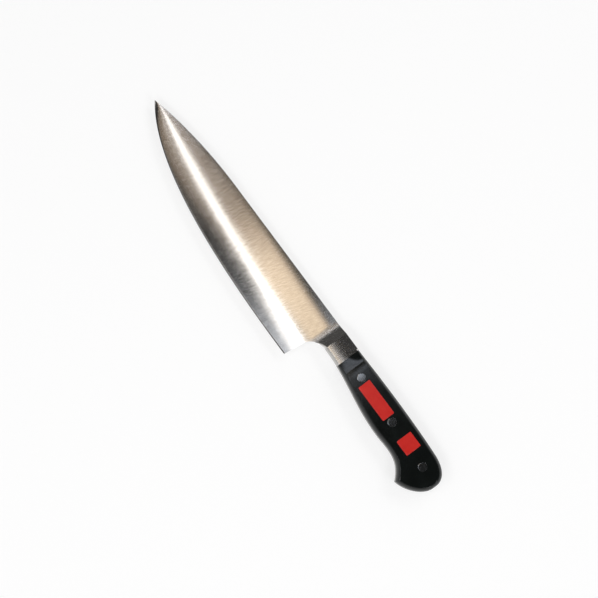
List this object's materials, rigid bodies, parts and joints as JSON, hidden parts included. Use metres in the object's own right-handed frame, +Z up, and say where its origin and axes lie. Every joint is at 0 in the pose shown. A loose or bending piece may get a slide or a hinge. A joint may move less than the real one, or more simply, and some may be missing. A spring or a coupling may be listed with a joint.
{
  "type": "gyuto knife",
  "caption": "Forged kitchen knife with a tall pointed blade, a full bolster, and black scales riveted to a full tang, with bare red plates let into one scale.",
  "frame": {"origin": "on the surface the knife lies on, below the middle of its bounding box", "axes": "+X along the blade towards the tip, +Y across the blade towards the cutting edge, +Z up through the thickness, from scale_right to scale_left"},
  "size_m": [0.34, 0.0444, 0.0166],
  "materials": {
    "forging": "satin, ground across the blade",
    "scales": "smooth moulded black, lightly polished",
    "rivets": "polished flush with the scales",
    "plates": "red, semi-gloss, bare"
  },
  "bodies": {
    "root": {"blade": "forging", "scale_left": "scales", "scale_right": "scales", "rivet_front_pin": "rivets", "rivet_front_tube": "rivets", "rivet_middle_pin": "rivets", "rivet_middle_tube": "rivets", "rivet_rear_pin": "rivets", "rivet_rear_tube": "rivets", "label_plate_long": "plates", "label_plate_square": "plates"}
  },
  "joints": []
}
